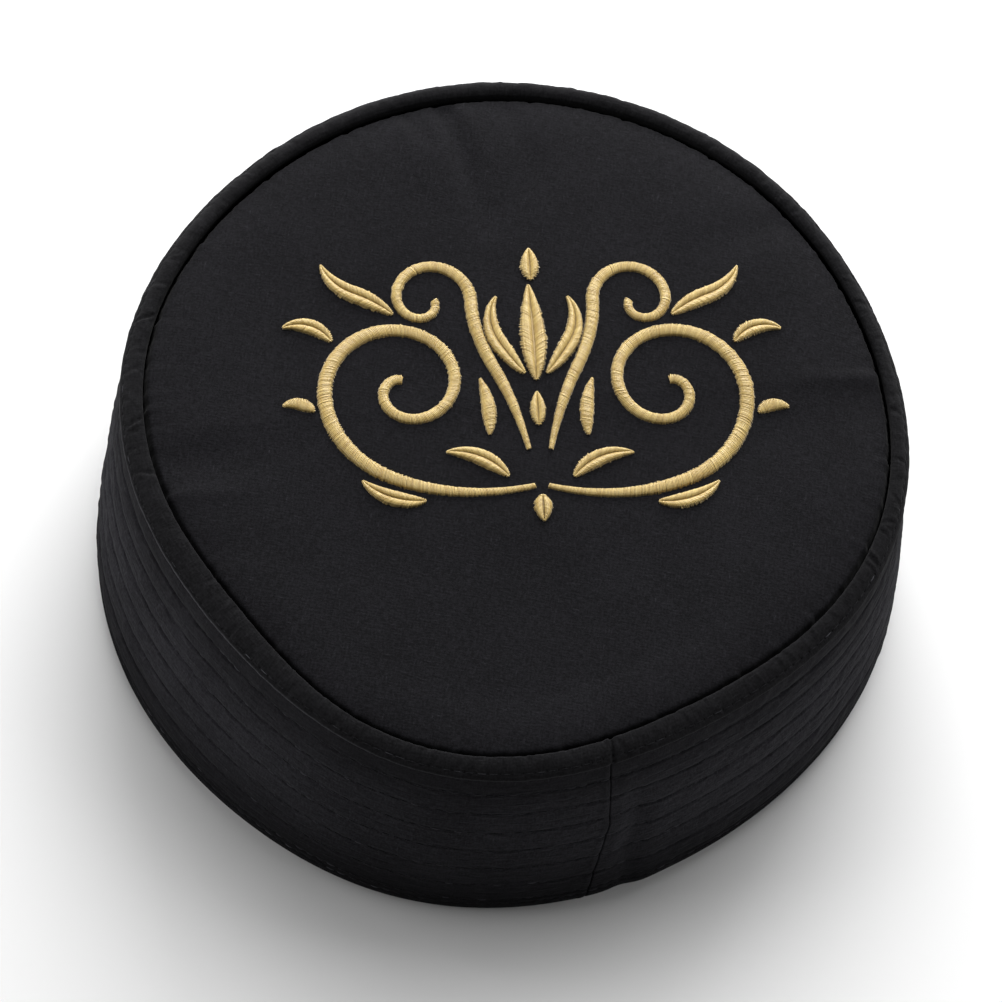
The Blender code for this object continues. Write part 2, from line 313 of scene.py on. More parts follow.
def ring_piece(name, angle, radius, height, turns, from_row):
    """A closed ring of cloth from its section at each column, facing out.

    turns is each column's place round the cap, and from_row each point's distance from the
    nearest row of stitches, in millimetres.
    """
    points = world_points(angle, radius, height)
    columns, rows = radius.shape
    column, row = np.meshgrid(np.arange(columns), np.arange(rows), indexing="ij")
    corners = [np.stack([column + a, row + b], axis=-1) for a, b in ((0, 0), (1, 0), (1, 1), (0, 1))]
    corners = np.stack(corners, axis=2).reshape(-1, 4, 2)
    faces = (corners[..., 0] % columns) * rows + corners[..., 1] % rows
    step = np.hypot(np.diff(radius.mean(axis=0)), np.diff(height.mean(axis=0)))
    along = np.concatenate([[0.0], np.cumsum(step), [step.sum() + 1.0]])
    around = np.append(turns, turns[0] + math.tau)[corners[..., 0]]
    cloth = np.stack([around * RIM_RADIUS, along[corners[..., 1]]], axis=-1) * MM
    count = around / math.tau * STITCHES_IN_ROW
    from_row = from_row + np.zeros((columns, rows))
    stitching = np.stack([count, from_row[corners[..., 0] % columns, corners[..., 1] % rows]], axis=-1)
    if signed_volume(points, faces) < 0:
        faces, cloth, stitching = faces[:, ::-1], cloth[:, ::-1], stitching[:, ::-1]
    return link_mesh(name, points, [faces], {"cloth": cloth, "stitching": stitching})


def band_heights():
    """Heights of the outer face's rings: close together at each row of stitches."""
    heights = list(HEM_RINGS)
    for row in HEM_ROWS + QUILT_ROWS:
        heights += [row + away for away in ROW_RINGS]
    lines = (HEM_ROWS[1],) + QUILT_ROWS
    for low, high in zip(lines, lines[1:] + (BAND_TOP + 1.0,)):
        heights += [low + (high - low) * share for share in QUILT_RINGS]
    heights = sorted(height for height in heights if height < BAND_TOP - 0.5)
    apart = [heights[0]]
    for height in heights[1:]:
        if height - apart[-1] > 0.2:
            apart.append(height)
    return np.array(apart + [BAND_TOP - 0.3, BAND_TOP])


def band_turns():
    """Turns of the columns from the seam, with more of them near it."""
    near = SEAM_REACH / RIM_RADIUS
    share = np.linspace(-1.0, 1.0, SEAM_COLUMNS + 1)[1:-1]
    close = near * (0.25 * share + 0.75 * share**3)
    return np.concatenate([close, np.linspace(near, math.tau - near, BAND_COLUMNS)])


def band_angle(turn, height):
    """The angle of a column at a height: columns near the seam follow its wander."""
    follow = bell((turn + math.pi) % math.tau - math.pi, SEAM_FOLLOW)
    return STRAIGHT_SEAM + turn + follow * (seam_angle(height) - STRAIGHT_SEAM)


def from_nearest_row(height):
    away = height[:, None] - np.array(HEM_ROWS + QUILT_ROWS)[None, :]
    return away[np.arange(len(height)), np.abs(away).argmin(axis=1)]


turns = band_turns()
outer = band_heights()
outer_angle = band_angle(turns[:, None], outer[None, :])
outer_radius, outer_height = band_surface(outer_angle, outer[None, :] + 0.0 * outer_angle)
outer_radius[:, [0, -1]] -= EDGE_ROUNDING
inner = np.array(INNER_RINGS)
inner_angle = STRAIGHT_SEAM + turns[:, None] + 0.0 * inner[None, :]
inner_radius = band_inside(inner_angle, inner[None, :])
inner_radius[:, [0, -1]] += INNER_EDGE_ROUNDING
side_band = ring_piece(
    "quilted_band",
    np.concatenate([outer_angle, inner_angle], axis=1),
    np.concatenate([outer_radius, inner_radius], axis=1),
    np.concatenate([outer_height, inner[None, :] + 0.0 * inner_angle], axis=1),
    turns,
    np.concatenate([from_nearest_row(outer), np.full(len(inner), UNSTITCHED)]),
)


class Wire:
    """One output of a material's nodes. Sums written on it add Math nodes."""

    def __init__(self, tree, socket=None):
        self.tree = tree
        self.socket = socket

    def node(self, kind, settings=None, output=0, **inputs):
        """Any other node: its settings are set first, then the values or links of its sockets."""
        made = self.tree.nodes.new(kind)
        for name, value in (settings or {}).items():
            setattr(made, name, value)
        for name, value in inputs.items():
            key = int(name[1:]) if name[0] == "i" and name[1:].isdigit() else name.replace("_", " ")
            if isinstance(value, Wire):
                self.tree.links.new(value.socket, made.inputs[key])
            else:
                made.inputs[key].default_value = value
        return Wire(self.tree, made.outputs[output])

    def maths(self, operation, first, second=0.0):
        return self.node("ShaderNodeMath", {"operation": operation}, i0=first, i1=second)

    def __add__(self, other):
        return self.maths("ADD", self, other)

    def __radd__(self, other):
        return self.maths("ADD", other, self)

    def __sub__(self, other):
        return self.maths("SUBTRACT", self, other)

    def __rsub__(self, other):
        return self.maths("SUBTRACT", other, self)

    def __mul__(self, other):
        return self.maths("MULTIPLY", self, other)

    def __rmul__(self, other):
        return self.maths("MULTIPLY", other, self)

    def larger(self, other):
        return self.maths("MAXIMUM", self, other)

    def fraction(self):
        return self.maths("FRACT", self)

    def size(self):
        return self.maths("ABSOLUTE", self)

    def exponent(self):
        return self.maths("EXPONENT", self)

    def hump(self):
        """One where this value is nothing, and falling softly on both sides."""
        return (self * self * -1.0).exponent()

    def clamped(self):
        return self.node("ShaderNodeClamp", Value=self)

    def part(self, place):
        """One part of a vector, by its place in it."""
        return self.node("ShaderNodeSeparateXYZ", output=place, i0=self)

    def stretched(self, scale):
        return self.node("ShaderNodeVectorMath", {"operation": "MULTIPLY"}, i0=self, i1=scale)

    def mixed(self, first, second):
        """A colour between two colours, by this value."""
        first, second = (end if isinstance(end, Wire) else (*end, 1.0) for end in (first, second))
        return self.node("ShaderNodeMix", {"data_type": "RGBA"}, output=2, i0=self, i6=first, i7=second)

    def feeds(self, shader, name):
        self.tree.links.new(self.socket, shader.inputs[name])


CLOTH_GLOSS = 0.06


def new_finish(name, roughness, sheen, sheen_roughness=0.5):
    """A material, its shader, and a wire to start from."""
    material = bpy.data.materials.new(name)
    material.use_nodes = True
    shader = material.node_tree.nodes["Principled BSDF"]
    shader.inputs["Roughness"].default_value = roughness
    shader.inputs["Sheen Weight"].default_value = sheen
    shader.inputs["Sheen Roughness"].default_value = sheen_roughness
    shader.inputs["Specular IOR Level"].default_value = CLOTH_GLOSS
    return material, shader, Wire(material.node_tree)


# The cotton's slubs run along both sets of threads. The shares say how much each kind of
# unevenness counts in the tone of the dye, and in the height of the bumps.
COTTON_ROUGHNESS = 0.95
SLUB_STRETCHES = ((2400.0, 420.0, 1.0), (420.0, 2400.0, 1.0))
SLUB_SHARE = 1.2
GRAIN_SHARE = 2.0
CLOUD_SHARE = 0.7
BROAD_SHARE = 0.5
MIDDLE_TONE = 0.45
DYE_DARK = 0.60
DYE_PALE = 1.45
FLECK_FROM = 0.70
FLECK_SHARPNESS = 9.0
FLECK_SHARE = 0.7
FLECK_PALE = 3.2
SHADED = 0.12
# Needle holes get painted shade, a near black mixed into the cloth's colour
HOLE_PAINTED_SHADE = (0.0006, 0.0006, 0.0007)
HOLE_SHADE_SHARE = 0.6
HOLE_LENGTH = 60.0
HOLE_WIDTH = 16.0
SLUB_HEIGHT = 0.7
HOLE_DEPTH = 2.0
# A painted highlight along the strip's fold, where it catches the light, mostly at the front left, and its
# place round the cap in metres
FOLD_HIGHLIGHT_AT = 0.445
FOLD_HIGHLIGHT_SPREAD = 16.0
FOLD_HIGHLIGHT_ELSEWHERE = 0.1
FOLD_HIGHLIGHT_SHARPNESS = 7.0
FOLD_HIGHLIGHT_PALE = 9.0
SLACK_SPREAD = 22.0
SLACK_SHARE = 0.85
RUMPLE_STRETCH = (190.0, 480.0, 1.0)
RUMPLE_FADE = -0.30
RUMPLE_LEAST = 0.25


def tinted(colour, share):
    return tuple(part * share for part in colour)


def cotton(name, colour, sheen, edge_at=None, shades=(), rumpled=0.0, slack_at=None):
    """Matt woven cotton: uneven dye, slubs, and small needle holes darkened with painted shade.

    edge_at is how far over the cloth a fold lies that is painted paler as a highlight, and
    slack_at how far round the band the cloth lies slack and the painted shade in its holes
    fades. shades are bands of painted shade at given heights.
    """
    material, shader, start = new_finish(name, COTTON_ROUGHNESS, sheen)
    flat = start.node("ShaderNodeUVMap", {"uv_map": "cloth"})
    rows = start.node("ShaderNodeUVMap", {"uv_map": "stitching"})
    solid = start.node("ShaderNodeTexCoord", output=3)
    around, over = flat.part(0), flat.part(1) * 1000.0
    one, other = (
        start.node("ShaderNodeTexNoise", Vector=flat.stretched(stretch), Scale=1.0, Detail=1.5)
        for stretch in SLUB_STRETCHES
    )
    grain = start.node("ShaderNodeTexNoise", Vector=solid, Scale=1900.0, Detail=2.0)
    cloudy = start.node("ShaderNodeTexNoise", Vector=solid, Scale=70.0, Detail=4.0)
    broad = start.node("ShaderNodeTexNoise", Vector=solid, Scale=16.0, Detail=2.0)
    slubs = one + other - 1.0
    tone = slubs * SLUB_SHARE + (grain - 0.5) * GRAIN_SHARE + (cloudy - 0.5) * CLOUD_SHARE
    tone = tone + (broad - 0.5) * BROAD_SHARE + MIDDLE_TONE
    dye_and_painted_light = tone.clamped().mixed(tinted(colour, DYE_DARK), tinted(colour, DYE_PALE))
    fleck = ((one.larger(other) - FLECK_FROM) * FLECK_SHARPNESS).clamped()
    dye_and_painted_light = (fleck * FLECK_SHARE).mixed(dye_and_painted_light, tinted(colour, FLECK_PALE))
    away = rows.part(1)
    beside = (rows.part(0).fraction() - 0.5).size() * -2.0 + 1.0
    hole = (beside * beside * -HOLE_LENGTH - away * away * HOLE_WIDTH).exponent()
    # Where the band lies slack, the painted shade in its needle holes fades
    if slack_at is not None:
        hole = hole * (1.0 - ((around - slack_at) * SLACK_SPREAD).hump() * SLACK_SHARE)
    # Painted highlight: the cloth is painted paler along the fold, where it catches the light, most at the
    # front left
    if edge_at is not None:
        highlight_reach = ((around - FOLD_HIGHLIGHT_AT) * FOLD_HIGHLIGHT_SPREAD).hump() * (1.0 - FOLD_HIGHLIGHT_ELSEWHERE) + FOLD_HIGHLIGHT_ELSEWHERE
        from_fold = over - edge_at
        paler = (from_fold * from_fold * -FOLD_HIGHLIGHT_SHARPNESS).exponent() * (grain * 1.5 + 0.1) * highlight_reach
        dye_and_painted_light = paler.clamped().mixed(dye_and_painted_light, tinted(colour, FOLD_HIGHLIGHT_PALE))
    # Painted shade: the cloth is painted darker in bands at given heights
    for shade in shades:
        shaded = ((over - shade.at) * (1.0 / shade.reach)).hump() * shade.share
        dye_and_painted_light = shaded.mixed(dye_and_painted_light, tinted(colour, SHADED))
    # Painted shade in the needle holes
    (hole * HOLE_SHADE_SHARE).mixed(dye_and_painted_light, HOLE_PAINTED_SHADE).feeds(shader, "Base Color")
    height = slubs * SLUB_HEIGHT + grain - hole * HOLE_DEPTH
    if rumpled > 0.0:
        place = flat.stretched(RUMPLE_STRETCH)
        rumples = start.node("ShaderNodeTexNoise", Vector=place, Scale=1.0, Detail=1.0)
        beside_row = (away * away * RUMPLE_FADE).exponent() + RUMPLE_LEAST
        height = height + (rumples - 0.5) * beside_row * rumpled
    start.node("ShaderNodeBump", Strength=0.5, Distance=0.00014, Height=height).feeds(shader, "Normal")
    return material


# Painted shade on the band's cloth, towards the hem and under the rim strip: how far up each lies, in
# millimetres, how wide and how much
Shade = namedtuple("Shade", "at reach share")
BAND_PAINTED_SHADES = (Shade(0.0, 20.0, 0.84), Shade(68.0, 14.0, 0.48))
BAND_SLACK_AT = 0.527
BAND_RUMPLES = 13.0
# Painted light: the band is the crown's cotton, set about two and a half times lighter to stand in for the
# light on its sides
BAND_BLACK_PAINTED_LIGHTER = (0.0162, 0.0159, 0.0185)
band_cotton = cotton(
    "band_cotton", BAND_BLACK_PAINTED_LIGHTER, 0.0, shades=BAND_PAINTED_SHADES, rumpled=BAND_RUMPLES, slack_at=BAND_SLACK_AT
)
side_band.data.materials.append(band_cotton)
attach(side_band, "root")
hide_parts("side_band")

# The band's rows are lockstitches of black thread, each stitch a short rounded length that
# lies in the groove it has pulled into the cloth.
STITCH_SHARE = 0.72
STITCH_RADIUS = 0.115
STITCH_SECTIONS = 5
STITCH_SIDES = 6
STITCH_ARCH = 0.75
STITCH_DIP = 0.25
STITCH_END_SHARE = 0.35
STITCH_OFF_CLOTH = 0.06
STITCH_WAVER = 0.06
BAND_THREAD_DARKNESS = 3.4
THREAD_DARK = (0.0024, 0.0024, 0.0029)
# The pale colour is a painted highlight, the glint of the thread
THREAD_HIGHLIGHT = (0.062, 0.062, 0.070)
THREAD_ROUGHNESS = 0.8
THREAD_SHEEN = 0.01
THREAD_GLOSS = 0.08
THREAD_TONE_SHARE = 0.8
THREAD_FIBRE_SHARE = 0.8
THREAD_DARKER = 0.3


def rod_faces(count, rings, sides, first=0):
    """Faces of many rods whose points follow one another: round them, and over their two ends."""
    rod, ring, turned = np.meshgrid(np.arange(count), np.arange(rings - 1), np.arange(sides), indexing="ij")
    base = first + (rod * rings + ring) * sides
    after = (turned + 1) % sides
    walls = np.stack([base + turned, base + after, base + sides + after, base + sides + turned], axis=-1)
    starts = first + np.arange(count)[:, None] * rings * sides
    roots = starts + np.arange(sides)[::-1]
    tips = starts + (rings - 1) * sides + np.arange(sides)
    return [walls.reshape(-1, 4), roots, tips]


def round_about(side, up, sides, shift=0.0):
    """Directions from a thread's middle line to the points round it."""
    turn = (np.arange(sides) + shift) / sides * math.tau
    return side[..., None, :] * np.cos(turn)[:, None] + up[..., None, :] * np.sin(turn)[:, None]


def thread_run(name, starts, ends, lifts, radius, darkness, least_highlight=0.0):
    """One mesh of many short stitches, each a tapered rod that arches a little off the cloth."""
    share = np.linspace(0.0, 1.0, STITCH_SECTIONS)
    line = starts[:, None, :] + (ends - starts)[:, None, :] * share[None, :, None]
    arch = np.sin(math.pi * share)
    line = line + lifts[:, None, :] * (arch * STITCH_ARCH - STITCH_DIP)[None, :, None] * radius * MM
    forward = ends - starts
    forward /= np.linalg.norm(forward, axis=1)[:, None]
    side = np.cross(forward, lifts)
    side /= np.linalg.norm(side, axis=1)[:, None]
    up = np.cross(side, forward)
    thick = radius * MM * (STITCH_END_SHARE + (1.0 - STITCH_END_SHARE) * arch**0.5)
    rim = round_about(side[:, None, :], up[:, None, :], STITCH_SIDES)
    points = line[:, :, None, :] + rim * thick[None, :, None, None]
    count = len(starts)
    draw = np.random.RandomState(count)
    # Each stitch's share of painted highlight, mostly small
    tones = np.maximum(draw.uniform(0.0, 1.0, count) ** darkness, least_highlight)
    faces = rod_faces(count, STITCH_SECTIONS, STITCH_SIDES)
    return link_mesh(name, points, faces, tones=np.repeat(tones, STITCH_SECTIONS * STITCH_SIDES))


def row_of_stitches(height, seed):
    """Where each stitch of one row starts and ends on the band, and which way is out."""
    draw = np.random.RandomState(seed)
    count = STITCHES_IN_ROW
    middles = math.tau * (np.arange(count) + 0.5) / count
    half = math.pi / count * STITCH_SHARE * draw.uniform(0.9, 1.1, count)
    level = height + draw.normal(0.0, STITCH_WAVER, count)
    ends = []
    for turn in (middles - half, middles + half):
        angle = band_angle(turn, level)
        radius, lifted = band_surface(angle, level)
        ends.append(world_points(angle, radius + STITCH_OFF_CLOTH, lifted))
    middles = band_angle(middles, level)
    out = np.stack([np.cos(middles), np.sin(middles), 0.0 * middles], axis=-1)
    return ends[0], ends[1], out


rows = [row_of_stitches(height, 40 + i) for i, height in enumerate(HEM_ROWS + QUILT_ROWS)]
starts, ends, lifts = (np.concatenate(parts) for parts in zip(*rows))
# At the front every stitch gets at least some of the painted highlight, so that it shows no darker than the
# cloth
FRONT_THREAD_HIGHLIGHT = (Swell(-94.0, 0.15, 0.46),)
front_highlight = swelling(FRONT_THREAD_HIGHLIGHT, np.arctan2(lifts[:, 1], lifts[:, 0]))
band_stitches = thread_run(
    "band_stitching", starts, ends, lifts, STITCH_RADIUS, BAND_THREAD_DARKNESS, front_highlight
)


def thread_finish(name, dark, pale):
    """Twisted black sewing thread; each stitch's tone sets how much painted highlight it shows."""
    material, shader, start = new_finish(name, THREAD_ROUGHNESS, THREAD_SHEEN)
    tone = start.node("ShaderNodeAttribute", {"attribute_name": "tone"}, output=2)
    solid = start.node("ShaderNodeTexCoord", output=3)
    fibres = start.node("ShaderNodeTexNoise", Vector=solid, Scale=3200.0, Detail=2.0)
    blend = (tone * THREAD_TONE_SHARE + fibres * THREAD_FIBRE_SHARE - THREAD_DARKER).clamped()
    blend.mixed(dark, pale).feeds(shader, "Base Color")
    shader.inputs["Specular IOR Level"].default_value = THREAD_GLOSS
    return material


black_thread = thread_finish("black_thread", THREAD_DARK, THREAD_HIGHLIGHT)
band_stitches.data.materials.append(black_thread)
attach(band_stitches, "root")

# The rim strip is a bias strip of black cotton folded round the top edge of the band. It is
# sewn to the crown along its inner edge and topstitched along its outer fold, and the
# stitching draws it into short creases across its width.
STRIP_BACK_MIDDLE = 100.0
STRIP_BACK_SPREAD = 1.5
# back_out and back_up move the point at the back of the cap, where the strip stands up higher
StripPoint = namedtuple("StripPoint", "outward height back_out back_up")
STRIP_SECTION = (
    StripPoint(-4.48, 69.00, 0.00, 0.00),
    StripPoint(-4.46, 70.05, 0.05, 0.00),
    StripPoint(-4.32, 70.42, 0.25, 0.15),
    StripPoint(-3.75, 70.48, 0.45, 0.55),
    StripPoint(-2.65, 70.30, 0.55, 0.75),
    StripPoint(-1.65, 69.92, 0.40, 0.68),
    StripPoint(-0.65, 69.32, 0.15, 0.45),
    StripPoint(0.10, 68.70, 0.00, 0.20),
    StripPoint(0.50, 68.00, 0.00, 0.00),
    StripPoint(0.40, 67.40, 0.00, 0.00),
    StripPoint(-0.10, 67.15, 0.00, 0.00),
    StripPoint(-1.60, 67.10, 0.00, 0.00),
    StripPoint(-3.50, 67.15, 0.00, 0.00),
    StripPoint(-3.90, 67.60, 0.00, 0.00),
    StripPoint(-4.35, 67.80, 0.00, 0.00),
)
# Places where the seam between strip and crown runs out or in
SEAM_SWELLS = (
    Swell(232.0, -0.70, 0.22),
    Swell(206.0, 0.40, 0.22),
    Swell(-55.0, -0.45, 0.30),
    Swell(-100.0, 0.30, 0.25),
)
STRIP_SAMPLES = 60
STRIP_COLUMNS = 1200
# Places along the section are counted in its points, from the inner edge over the top and round
STRIP_FOLD_AT = 8.3
STRIP_OUTSIDE = 9.0
STRIP_FADE = 1.5
STRIP_STITCH_AT = 6.1
STRIP_STITCH_DEPTH = 0.12
STRIP_STITCH_SPREAD = 0.35
STRIP_TIGHTNESS = 0.8
STRIP_TOP_HEIGHT = 70.0
STRIP_DROP = 3.0
STRIP_DROP_FROM = 4.0
STRIP_DROP_OVER = 5.0
FOLD_RISE_FROM = 2.5
FOLD_RISE_OVER = 4.0
FOLD_ENDS_AT = 12.0
FOLD_FALL_OVER = 2.0
STRIP_SEAM_DEPTH = 0.80
STRIP_SEAM_WIDTH = 0.34
# The topstitching runs nearer the fold at the left side
STRIP_ROW_SWELLS = (Swell(215.0, 0.8, 0.6),)
STRIP_UNEVENNESS = Ripple(23, range(9, 90, 9), 0.35, 0.08)
STRIP_DIMPLES = Ripple(17, range(9, 60, 5), 0.11, 0.9)
STRIP_RUMPLES = Ripple(18, range(90, 260, 17), 0.06, 1.8)
STRIP_BACK_RUMPLES = Ripple(26, range(40, 130, 9), 0.13, 0.08)
STRIP_SWAY = Ripple(19, range(2, 9), 0.22, 0.08)
# Creases across the strip: reach is how far each runs over the section, from its centre
Pucker = namedtuple("Pucker", "angle depth width centre reach")
STRIP_PUCKERS = (
    Pucker(-6.6, 0.26, 0.50, 4.0, 2.0),
    Pucker(-8.6, 0.30, 0.50, 3.6, 1.8),
    Pucker(-13.2, 0.28, 0.45, 3.4, 2.4),
    Pucker(-14.9, 0.22, 0.45, 4.2, 2.2),
    Pucker(4.0, 0.28, 0.45, 4.4, 2.2),
    Pucker(12.0, 0.22, 0.6, 4.0, 2.0),
    Pucker(176.6, 0.55, 0.5, 4.0, 2.4),
    Pucker(170.5, 0.25, 0.6, 4.0, 2.0),
    Pucker(185.5, 0.25, 0.6, 4.0, 2.0),
    Pucker(194.5, 0.45, 0.5, 4.0, 2.2),
    Pucker(203.0, 0.25, 0.6, 4.0, 2.0),
    Pucker(-35.0, 0.20, 0.7, 4.0, 2.0),
)
PUCKER_LEAN = 0.006
PUCKER_RIDGE = 0.55
PUCKER_RIDGE_AT = 1.5
# Small creases are scattered round the strip, between a least and a most of each size
SMALL_PUCKERS = 150
SMALL_DEPTHS = (0.04, 0.24)
SMALL_WIDTHS = (0.45, 0.8)
SMALL_CENTRES = (1.5, 6.5)
SMALL_REACHES = (0.9, 2.2)


def smooth_loop(values, at):
    """A smooth closed curve through the values, read at the given places along it."""
    values = np.asarray(values, float)
    count = len(values)
    whole = np.floor(at).astype(int)
    part = at - whole
    before, here, after, beyond = (values[(whole + step) % count] for step in (-1, 0, 1, 2))
    return 0.5 * (
        2.0 * here
        + (after - before) * part
        + (2.0 * before - 5.0 * here + 4.0 * after - beyond) * part**2
        + (3.0 * here - before - 3.0 * after + beyond) * part**3
    )


def strip_row_at(angle):
    """Where the topstitching runs along the section."""
    return STRIP_STITCH_AT + swelling(STRIP_ROW_SWELLS, angle)


def strip_puckers(angle, at):
    """Short creases across the strip: each a narrow valley with a low ridge beside it."""
    draw = np.random.RandomState(21)
    puckers = list(STRIP_PUCKERS)
    for _ in range(SMALL_PUCKERS):
        depth, angle_at = draw.uniform(*SMALL_DEPTHS), draw.uniform(0.0, 360.0)
        sizes = [draw.uniform(*limits) for limits in (SMALL_WIDTHS, SMALL_CENTRES, SMALL_REACHES)]
        puckers.append(Pucker(angle_at, depth, *sizes))
    total = 0.0
    for pucker in puckers:
        lean = PUCKER_LEAN * math.sin(pucker.angle * 7.0) * (at - pucker.centre)
        across = (angle_from(angle, pucker.angle) + lean) * RIM_RADIUS
        ridge = PUCKER_RIDGE * bell(across - PUCKER_RIDGE_AT * pucker.width, pucker.width)
        fade = pucker.depth * bell(at - pucker.centre, pucker.reach)
        total = total + fade * (ridge - bell(across, pucker.width))
    return total


def strip_surface(angle, at):
    """Radius and height of the strip at a place along its section."""
    back = bell(angle_from(angle, STRIP_BACK_MIDDLE), STRIP_BACK_SPREAD)
    section = list(zip(*STRIP_SECTION))

    def place(at):
        outward, height, back_out, back_up = (smooth_loop(values, at) for values in section)
        return outward + back * back_out, height + back * back_up

    outward, height = place(at)
    onward_out, onward_up = place(at + 0.05)
    run_out, run_up = onward_out - outward, onward_up - height
    long = np.hypot(run_out, run_up) + 1e-9
    outside = np.clip(at / STRIP_FADE, 0.0, 1.0)
    outside = outside * np.clip((STRIP_OUTSIDE + 1.0 - at) / STRIP_FADE, 0.0, 1.0)
    down_outside = np.clip((at - STRIP_DROP_FROM) / STRIP_DROP_OVER, 0.0, 1.0)
    from_seam = seam_distance(angle, STRIP_TOP_HEIGHT - STRIP_DROP * down_outside)
    tight = STRIP_TIGHTNESS + waves(STRIP_UNEVENNESS, angle)
    push = -STRIP_STITCH_DEPTH * tight * bell(at - strip_row_at(angle), STRIP_STITCH_SPREAD)
    push = push + strip_puckers(angle, at)
    push = push + waves(STRIP_DIMPLES, angle, at) + waves(STRIP_RUMPLES, angle, at)
    push = push + back * waves(STRIP_BACK_RUMPLES, angle)
    push = (push - STRIP_SEAM_DEPTH * bell(from_seam, STRIP_SEAM_WIDTH)) * outside
    fold_share = np.clip((at - FOLD_RISE_FROM) / FOLD_RISE_OVER, 0.0, 1.0)
    fold_share = fold_share * np.clip((FOLD_ENDS_AT - at) / FOLD_FALL_OVER, 0.0, 1.0)
    outward = outward + fold_share * swelling(RIM_SWELLS, angle)
    outward = outward + (1.0 - fold_share) * swelling(SEAM_SWELLS, angle)
    radius = rim_radius(angle) + outward - run_up / long * push
    return radius, height + run_out / long * push + waves(STRIP_SWAY, angle)


strip_turns = np.arange(STRIP_COLUMNS) / STRIP_COLUMNS * math.tau
strip_at = np.linspace(0.0, len(STRIP_SECTION), STRIP_SAMPLES, endpoint=False)
strip_angle = STRAIGHT_SEAM + strip_turns[:, None] + 0.0 * strip_at[None, :]
strip_radius, strip_height = strip_surface(strip_angle, strip_at[None, :] + 0.0 * strip_angle)
mean_radius, mean_height = strip_radius.mean(axis=0), strip_height.mean(axis=0)
strip_along = np.concatenate([[0.0], np.cumsum(np.hypot(np.diff(mean_radius), np.diff(mean_height)))])
strip_from_row = strip_along[None, :] - np.interp(strip_row_at(strip_angle[:, :1]), strip_at, strip_along)
strip_fold = float(np.interp(STRIP_FOLD_AT, strip_at, strip_along))
rim_strip = ring_piece(
    "folded_rim_strip", strip_angle, strip_radius, strip_height, strip_turns, strip_from_row
)
STRIP_BLACK = (0.0062, 0.0061, 0.0068)
strip_cotton = cotton("strip_cotton", STRIP_BLACK, 0.02, edge_at=strip_fold)
rim_strip.data.materials.append(strip_cotton)
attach(rim_strip, "root")
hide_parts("rim_strip")

# The strip is topstitched in one line all the way round, with a finer black thread than the
# band's. Most of its stitches lie in shade, so few get the thread's painted highlight.
STRIP_THREAD_RADIUS = 0.10
STRIP_THREAD_DARKNESS = 14.0
STRIP_STITCH_RISE = 0.7
STRIP_STITCH_OFF_CLOTH = 0.02
stitch_middles = math.tau * (np.arange(STITCHES_IN_ROW) + 0.5) / STITCHES_IN_ROW
stitch_half = math.pi / STITCHES_IN_ROW * STITCH_SHARE
stitch_ends = []
for turn in (stitch_middles - stitch_half, stitch_middles + stitch_half):
    angle = STRAIGHT_SEAM + turn
    stitch_radius, stitch_height = strip_surface(angle, strip_row_at(angle))
    stitch_ends.append(
        world_points(angle, stitch_radius + STRIP_STITCH_OFF_CLOTH, stitch_height + STRIP_STITCH_OFF_CLOTH)
    )
stitch_middles = STRAIGHT_SEAM + stitch_middles
stitch_out = np.stack([np.cos(stitch_middles), np.sin(stitch_middles), 1.0 + 0.0 * stitch_middles], axis=-1)
stitch_out = stitch_out * STRIP_STITCH_RISE
strip_stitches = thread_run(
    "strip_stitching", *stitch_ends, stitch_out, STRIP_THREAD_RADIUS, STRIP_THREAD_DARKNESS
)
strip_stitches.data.materials.append(black_thread)
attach(strip_stitches, "root")

# The crown is one disc of the same cotton over a thin lining, drawn over the top and sewn
# to the rim strip. Its edge rolls down into the seam, and soft creases run in from it.
CROWN_INSET = 4.7
CROWN_EDGE_HEIGHT = 69.3
CROWN_SHOULDER = 2.0
CROWN_SHOULDER_WIDTH = 5.2
CROWN_DOME = 1.5
CROWN_THICKNESS = 1.8
CROWN_ROLL = 2.4
CROWN_ROLL_WIDTH = 0.62
CROWN_COLUMNS = 720
# The crown falls a little on the front side of a soft ridge that crosses it from rim to rim
RIDGE_SLOPE = 0.31
RIDGE_START = 1.0
RIDGE_FALL = 0.75
RIDGE_WIDTH = 14.0
EDGE_GATHERS = Ripple(27, range(70, 330, 23), 0.26, 0.08)
CROWN_GATHERS = Ripple(29, range(60, 200, 13), 0.08, 0.08)
CROWN_GATHERS_AT = 1.6
CROWN_GATHERS_WIDTH = 2.2
# Soft waves across the crown each way, as turns for each millimetre of cloth
CROWN_WAVES_ACROSS = Ripple(31, range(1, 5), 0.30, 0.05)
CROWN_WAVES_ALONG = Ripple(37, range(1, 5), 0.30, 0.05)
CROWN_WAVE_TURNS = 0.030
CROWN_FLAT_EDGE = 14.0
WRINKLE_FLAT_EDGE = 3.0
